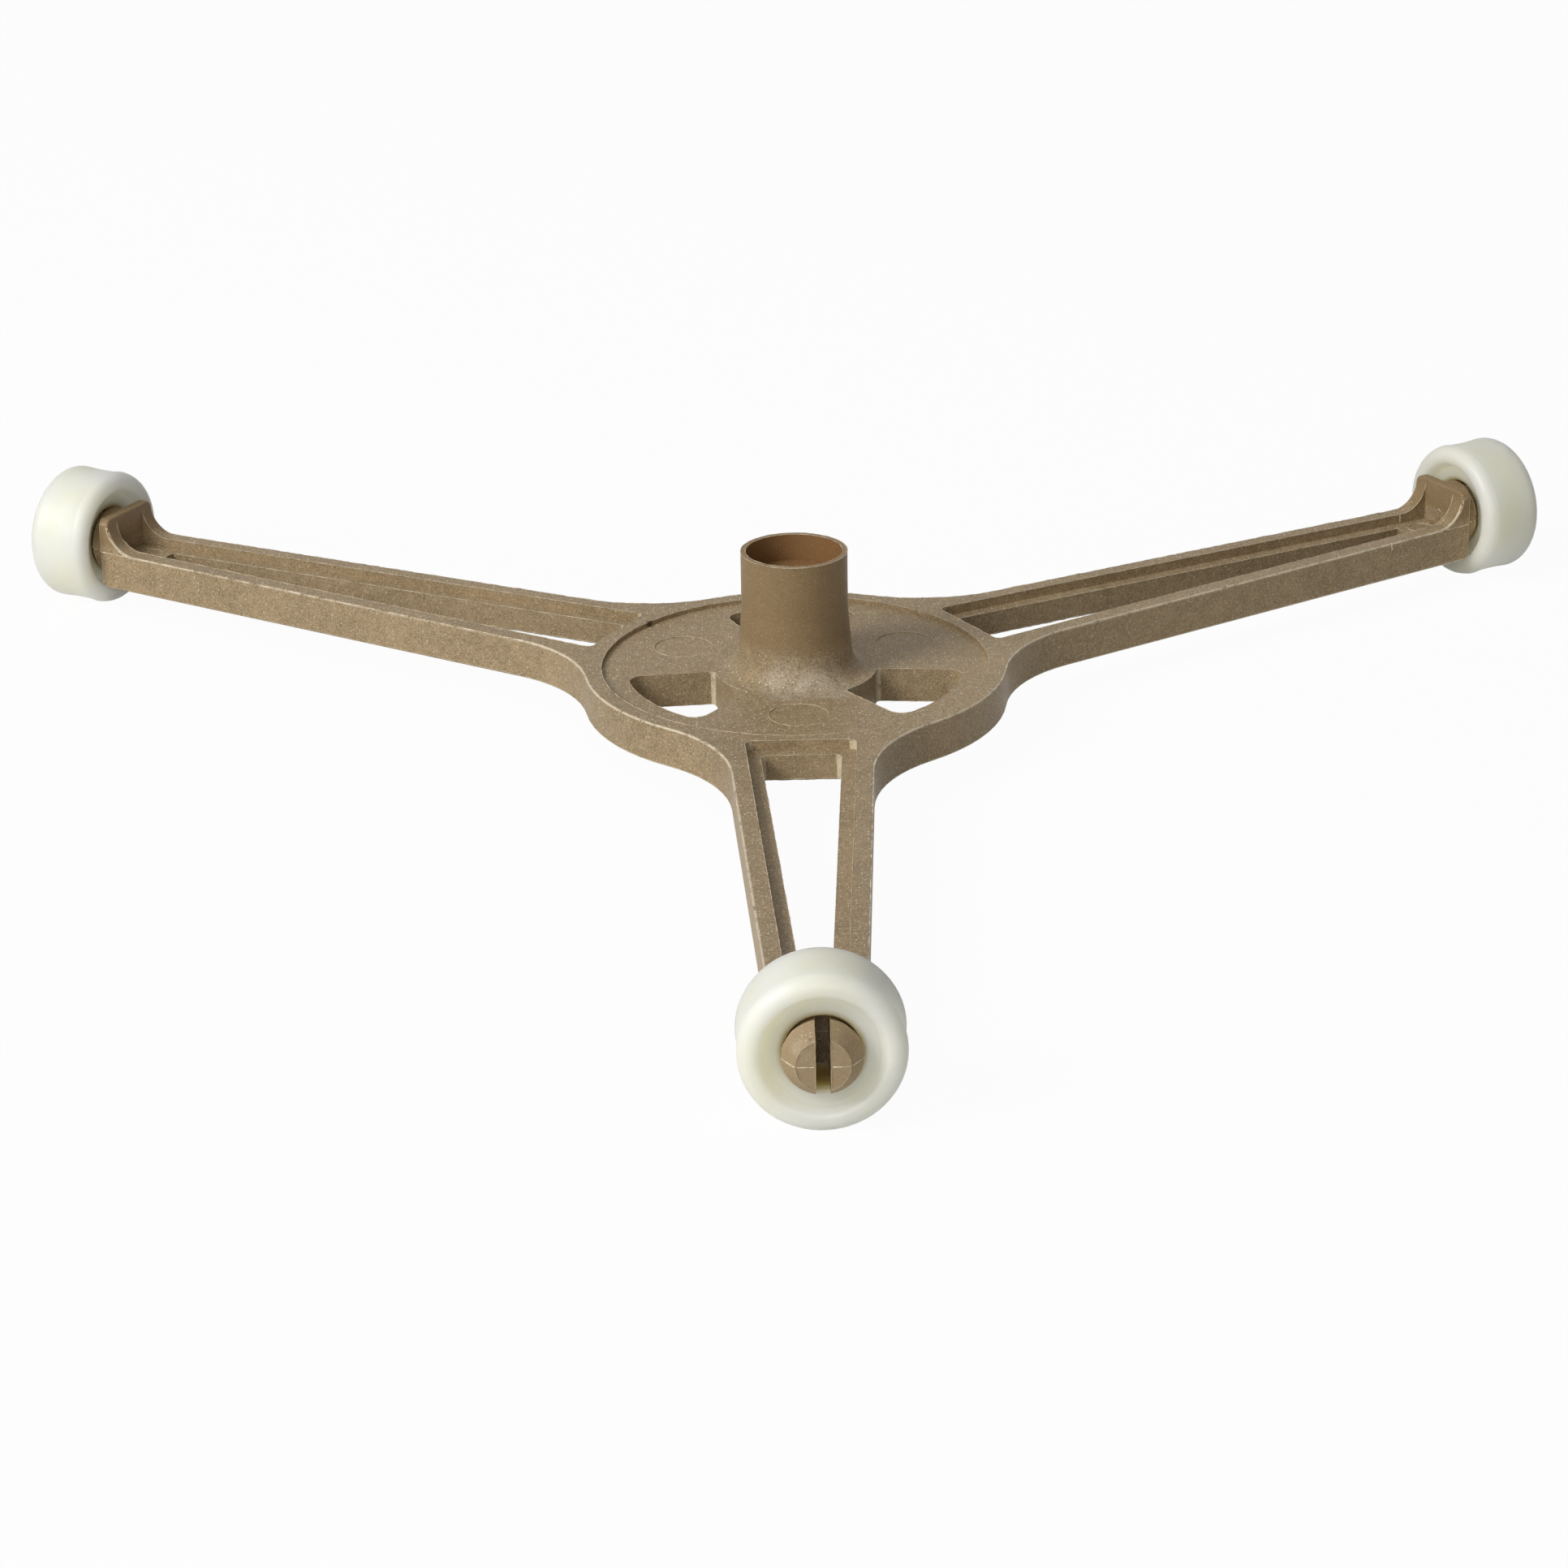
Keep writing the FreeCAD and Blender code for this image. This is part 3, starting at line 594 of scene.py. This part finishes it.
# half section of a roller: reach along its arm, radius, and the round at that corner
def rollerSection(look, inner, outer, tread):
    edge = look["edgeRadius"] * look["edgeShare"]
    rim = tread - look["edgeRadius"] - look["rimLand"]
    floor = rim - look["dishSlopeWidth"]
    bore = look["boreRadius"]
    mouth = bore + look["boreMouth"]
    boreStart = inner + look["innerDishDepth"]
    boreEnd = outer - look["outerDishDepth"]
    treadStart = inner + look["edgeRadius"] + look["treadLand"]
    treadEnd = outer - look["edgeRadius"] - look["treadLand"]
    half = (treadEnd - treadStart) / 2
    hollow = look["treadHollow"]
    return [
        (boreStart + look["boreMouth"], bore, look["mouthRound"]),
        (boreStart, mouth, look["mouthRound"]),
        (boreStart, floor, look["dishCornerRadius"]),
        (inner, rim, look["rimRadius"]),
        (inner, tread, edge),
        (treadStart - look["seamWidth"], tread, 0.0),
        (treadStart - look["seamWidth"] / 2, tread + look["seamHeight"], 0.0),
        (treadStart, tread, 0.0),
        ((treadStart + treadEnd) / 2, tread - 2 * hollow, half * half / (2 * hollow)),
        (treadEnd, tread, 0.0),
        (outer, tread, edge),
        (outer, rim, look["rimRadius"]),
        (boreEnd, floor, look["dishCornerRadius"]),
        (boreEnd, mouth, look["mouthRound"]),
        (boreEnd - look["boreMouth"], bore, look["mouthRound"]),
    ]


# turns a section about the roller's axis and lays it along its arm
def makeWheelTree(material):
    tree = Shaper("roller_lathe", {
        "Mean Radius": "Float", "Segments": "Int", "Corner Steps": "Int", "Arm Turn": "Float",
        "Axis Height": "Float", "Seam Reach": "Float", "Seam Width": "Float", "Seam Foot": "Float",
        "Seam Top": "Float"})
    corner = tree.node("GeometryNodeInputRadius", {}, {})
    section = tree.node("GeometryNodeFilletCurve", {"mode": "POLY"}, {
        "Curve": tree.input("Geometry"), "Radius": corner, "Count": tree.input("Corner Steps"),
        "Limit Radius": True})
    turn = {"Resolution": tree.input("Segments"), "Radius": tree.input("Mean Radius")}
    turn = tree.node("GeometryNodeCurvePrimitiveCircle", {}, turn)
    wheel = tree.node("GeometryNodeCurveToMesh", {}, {"Curve": turn, "Profile Curve": section})
    place = tree.node("GeometryNodeInputPosition", {}, {})
    flat = tree.node("ShaderNodeVectorMath", {"operation": "MULTIPLY"}, {0: place, 1: (1, 1, 0)})
    radius = tree.node("ShaderNodeVectorMath", {"operation": "LENGTH"}, {0: flat}, "Value")
    reach = tree.node("ShaderNodeSeparateXYZ", {}, {0: place}, "Z")
    offSeam = tree.node("ShaderNodeMath", {"operation": "ABSOLUTE"}, {0: reach - tree.input("Seam Reach")})
    width = tree.input("Seam Width")
    seam = 1 - tree.step(offSeam, width * 0.2, width * 0.6)
    seam = seam * tree.step(radius, tree.input("Seam Foot"), tree.input("Seam Top"))
    wheel = tree.store(wheel, "radius", radius)
    wheel = tree.store(wheel, "seam", seam)
    angles = tree.node("ShaderNodeCombineXYZ", {}, {"Y": math.pi / 2, "Z": tree.input("Arm Turn")})
    lift = tree.node("ShaderNodeCombineXYZ", {}, {"Z": tree.input("Axis Height")})
    move = {"Geometry": wheel, "Rotation": angles, "Translation": lift}
    tree.end(tree.node("GeometryNodeTransform", {}, move), material)
    return tree


def makeRoller(joint, look, tree):
    node = joint["child"]
    low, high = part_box("roller_front")  # it lies along -Y, and the others are its copies
    inner, outer, tread = -high.y, -low.y, (high.z - low.z) / 2
    meanRadius = (tread + look["boreRadius"]) / 2
    section = rollerSection(look, inner, outer, tread)
    curve = bpy.data.curves.new("section", "CURVE")
    curve.dimensions = "3D"
    spline = curve.splines.new("POLY")
    spline.points.add(len(section) - 1)
    for point, (reach, radius, corner) in zip(spline.points, section):
        point.co = (radius - meanRadius, -reach, 0, 1)
        point.radius = corner
    spline.use_cyclic_u = True
    thing = addObject(f"{node}_section", curve)
    seamReach = inner + look["edgeRadius"] + look["treadLand"] - look["seamWidth"] / 2
    seamFoot, seamTop = (tread - drop for drop in look["seamFade"])
    piece = tree.shape(thing, f"{node}_wheel", {
        "Mean Radius": meanRadius, "Segments": look["segments"], "Corner Steps": look["cornerSteps"],
        "Arm Turn": math.atan2(joint["axis"][1], joint["axis"][0]), "Axis Height": joint["pos_m"][2],
        "Seam Reach": seamReach, "Seam Width": look["seamWidth"], "Seam Foot": seamFoot,
        "Seam Top": seamTop})
    piece.data.shade_smooth()
    piece.data.set_sharp_from_angle(angle=math.radians(look["sharpAngle"]))
    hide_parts(node)
    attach(piece, node)
    print(piece.name, "has", len(piece.data.polygons), "faces")


wheelTree = makeWheelTree(ivory)
for joint in frame["joints"]:
    makeRoller(joint, rollerWheel, wheelTree)


studio = {
    "floorReach": 6.0,
    "floorColour": (0.8, 0.8, 0.8, 1.0),
    "floorRoughness": 0.9,
    "floorLift": 0.96,  # share of plain white that the camera sees in the floor
    "worldStrength": 0.08,
    "lamps": [
        {"name": "key_lamp", "place": (-0.84, -0.54, 0.72), "size": 0.55, "watts": 9.2},
        {"name": "top_lamp", "place": (-0.1, 0.1, 0.9), "size": 0.7, "watts": 1.4},
        {"name": "front_lamp", "place": (-0.3, -1.2, 0.4), "size": 0.8, "watts": 4.4},
    ],
}


# 1 for the camera's own rays and for those seen in a shiny or clear surface
def seenDirectly(web):
    kinds = ("Camera", "Glossy", "Transmission")
    camera, glossy, clear = (web.node("ShaderNodeLightPath", {}, {}, f"Is {kind} Ray") for kind in kinds)
    rays = {0: camera + glossy, 1: clear}
    return web.node("ShaderNodeMath", {"operation": "ADD", "use_clamp": True}, rays)


def makeFloor(look):
    reach = look["floorReach"]
    corners = [(-reach, -reach), (reach, -reach), (reach, reach), (-reach, reach)]
    mesh = bpy.data.meshes.new("floor")
    mesh.from_pydata([(x, y, cadLow.z) for x, y in corners], [], [(0, 1, 2, 3)])
    floor = addObject("floor", mesh)
    finish = Finish("floor_white")
    finish.paint(Base_Color=look["floorColour"], Roughness=look["floorRoughness"])
    seen = seenDirectly(finish) * look["floorLift"]
    plain = Wire(finish, finish.shader.outputs[0])
    glow = finish.node("ShaderNodeEmission", {}, {"Strength": 1.0})
    surface = finish.node("ShaderNodeMixShader", {}, {0: seen, 1: plain, 2: glow})
    finish.feed(finish.tree.nodes["Material Output"].inputs["Surface"], surface)
    mesh.materials.append(finish.material)


def makeWorld(look):
    world = bpy.data.worlds.new("studio")
    world.use_nodes = True
    bpy.context.scene.world = world
    web = Web(world.node_tree)
    background = web.tree.nodes["Background"]
    faint = look["worldStrength"]
    web.feed(background.inputs["Color"], (1.0, 1.0, 1.0, 1.0))
    web.feed(background.inputs["Strength"], seenDirectly(web) * (1.0 - faint) + faint)


def makeLamps(look):
    for lamp in look["lamps"]:
        light = bpy.data.lights.new(lamp["name"], "AREA")
        light.shape = "DISK"
        light.size = lamp["size"]
        light.energy = lamp["watts"]
        holder = addObject(lamp["name"], light)
        holder.location = lamp["place"]
        holder.rotation_euler = (-Vector(lamp["place"])).to_track_quat("-Z", "Y").to_euler()


photoCamera = {
    "target": (0.0, 0.0, 6.4 * mm),
    "distance": 571.97 * mm,
    "azimuth": -1.1421,  # these five in degrees
    "elevation": 20.8184,
    "yaw": -0.1663,
    "pitch": -1.6505,
    "roll": -0.7740,
    "lens": 103.22,  # millimetres, as the sensor is
    "sensor": 36.0,
    "nearest": 10 * mm,
}


# turns the first direction towards the second, and the second with it
def swing(first, second, angle):
    along, over = math.cos(angle), math.sin(angle)
    return first * along + second * over, second * along - first * over


def makeCamera(look):
    azimuth, elevation, yaw, pitch, roll = (
        math.radians(look[name]) for name in ("azimuth", "elevation", "yaw", "pitch", "roll"))
    level = math.cos(elevation)
    back = Vector((math.sin(azimuth) * level, -math.cos(azimuth) * level, math.sin(elevation)))
    ahead = -back
    right = ahead.cross(Vector((0, 0, 1))).normalized()
    up = right.cross(ahead)
    ahead, right = swing(ahead, right, yaw)
    ahead, up = swing(ahead, up, pitch)
    right, up = swing(right, up, roll)
    camera = bpy.data.cameras.new("photo_camera")
    camera.lens = look["lens"]
    camera.sensor_width = look["sensor"]
    camera.clip_start = look["nearest"]
    holder = addObject("photo_camera", camera)
    turn = Matrix((right, up, -ahead)).transposed().to_4x4()
    holder.matrix_world = Matrix.Translation(Vector(look["target"]) + back * look["distance"]) @ turn
    bpy.context.scene.camera = holder


makeFloor(studio)
makeWorld(studio)
makeLamps(studio)
makeCamera(photoCamera)
bpy.context.scene.view_settings.view_transform = "Standard"
print("studio and camera set")
